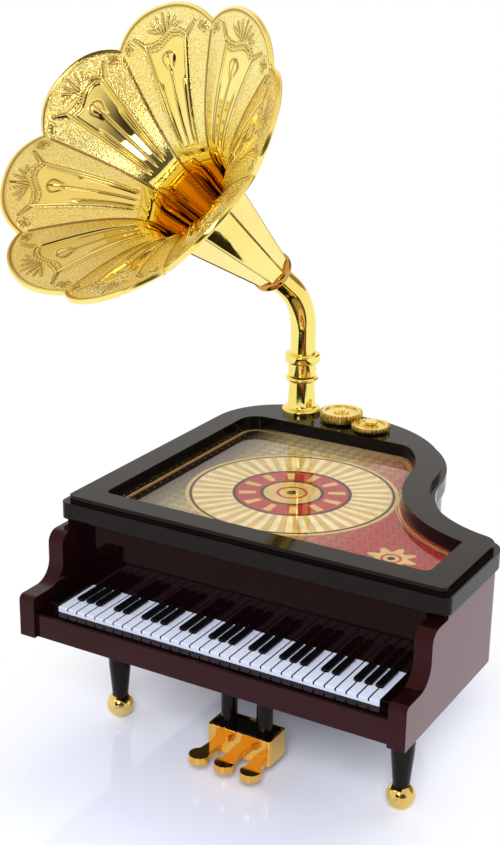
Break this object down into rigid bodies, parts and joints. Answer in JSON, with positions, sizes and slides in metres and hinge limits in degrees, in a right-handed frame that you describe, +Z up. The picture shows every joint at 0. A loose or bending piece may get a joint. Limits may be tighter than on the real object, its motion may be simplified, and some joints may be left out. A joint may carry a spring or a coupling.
{
  "type": "music box",
  "caption": "Wind-up music box shaped as a small grand piano with keyboard, pedals, windowed lid, swivelling flower horn and a geared comb movement.",
  "frame": {"origin": "floor under the middle of the whole object's bounding box", "axes": "+X to the player's right along the keyboard, +Y from the keyboard to the tail, +Z up"},
  "size_m": [0.2086, 0.1662, 0.2581],
  "materials": {
    "maroon_gloss": "dark maroon gloss lacquer on moulded plastic",
    "black_gloss": "black gloss lacquer on moulded plastic",
    "ivory_gloss": "cool white gloss plastic",
    "gold_plating": "bright gold metal plating on moulded plastic",
    "clear_pane": "clear polished pane",
    "printed_card": "printed card under the pane",
    "backing_wood": "plain hardboard",
    "steel": "bright steel",
    "movement_brass": "stamped and turned brass"
  },
  "bodies": {
    "case": {"case_shell": "maroon_gloss", "bottom_plate": "black_gloss", "case_screws": "steel", "keybed": "black_gloss", "white_keys": "ivory_gloss", "black_keys": "black_gloss", "fallboard": "maroon_gloss", "lid_frame": "black_gloss", "window_pane": "clear_pane", "print_card": "printed_card", "backing_board": "backing_wood", "leg_front_left": "black_gloss", "leg_front_right": "black_gloss", "leg_tail": "black_gloss", "foot_front_left": "gold_plating", "foot_front_right": "gold_plating", "foot_tail": "gold_plating", "lyre": "black_gloss", "lyre_screws": "steel", "pedal_box": "gold_plating", "horn_pedestal": "gold_plating", "pedestal_nut": "movement_brass", "idler_stud": "gold_plating", "drive_bush": "movement_brass", "bedplate": "movement_brass", "movement_screws": "steel", "comb": "steel", "comb_screws": "steel", "governor_frame": "movement_brass"},
    "horn": {"horn_elbow": "gold_plating", "horn_collar": "gold_plating", "horn_bell": "gold_plating"},
    "winder": {"winding_arbor": "steel", "winding_key": "movement_brass"},
    "barrel": {"spring_barrel": "movement_brass", "mainspring": "steel", "output_shaft": "steel", "drive_gear": "gold_plating"},
    "idler": {"idler_gear": "gold_plating"},
    "cylinder": {"pin_cylinder": "movement_brass", "cylinder_arbor": "steel"},
    "governor_wheel": {"governor_wheel": "movement_brass"},
    "governor_fly": {"governor_fly": "steel"}
  },
  "joints": [
    {"name": "horn_swivel", "type": "hinge", "parent": "case", "child": "horn", "pos_m": [-0.01945, 0.0732, 0.106], "axis": [0, 0, 1], "continuous": true},
    {"name": "wind_turn", "type": "hinge", "parent": "case", "child": "winder", "pos_m": [0.00055, 0.0711, 0.04], "axis": [0, 0, 1], "continuous": true},
    {"name": "play_turn", "type": "hinge", "parent": "case", "child": "barrel", "pos_m": [0.00055, 0.0711, 0.091], "axis": [0, 0, 1], "continuous": true},
    {"name": "idler_turn", "type": "hinge", "parent": "case", "child": "idler", "pos_m": [0.01607, 0.06729, 0.0915], "axis": [0, 0, 1], "continuous": true},
    {"name": "cylinder_turn", "type": "hinge", "parent": "case", "child": "cylinder", "pos_m": [0.00055, 0.05105, 0.0586], "axis": [0, 1, 0], "continuous": true},
    {"name": "governor_wheel_turn", "type": "hinge", "parent": "case", "child": "governor_wheel", "pos_m": [0.00855, 0.0352, 0.0586], "axis": [0, 1, 0], "continuous": true},
    {"name": "governor_fly_turn", "type": "hinge", "parent": "case", "child": "governor_fly", "pos_m": [0.01415, 0.0352, 0.0586], "axis": [0, 0, 1], "continuous": true}
  ],
  "couplings": [
    {"joint": "idler_turn", "follows": "play_turn", "ratio": -1.125},
    {"joint": "cylinder_turn", "follows": "play_turn", "ratio": -2},
    {"joint": "governor_wheel_turn", "follows": "play_turn", "ratio": 8},
    {"joint": "governor_fly_turn", "follows": "play_turn", "ratio": 40}
  ]
}
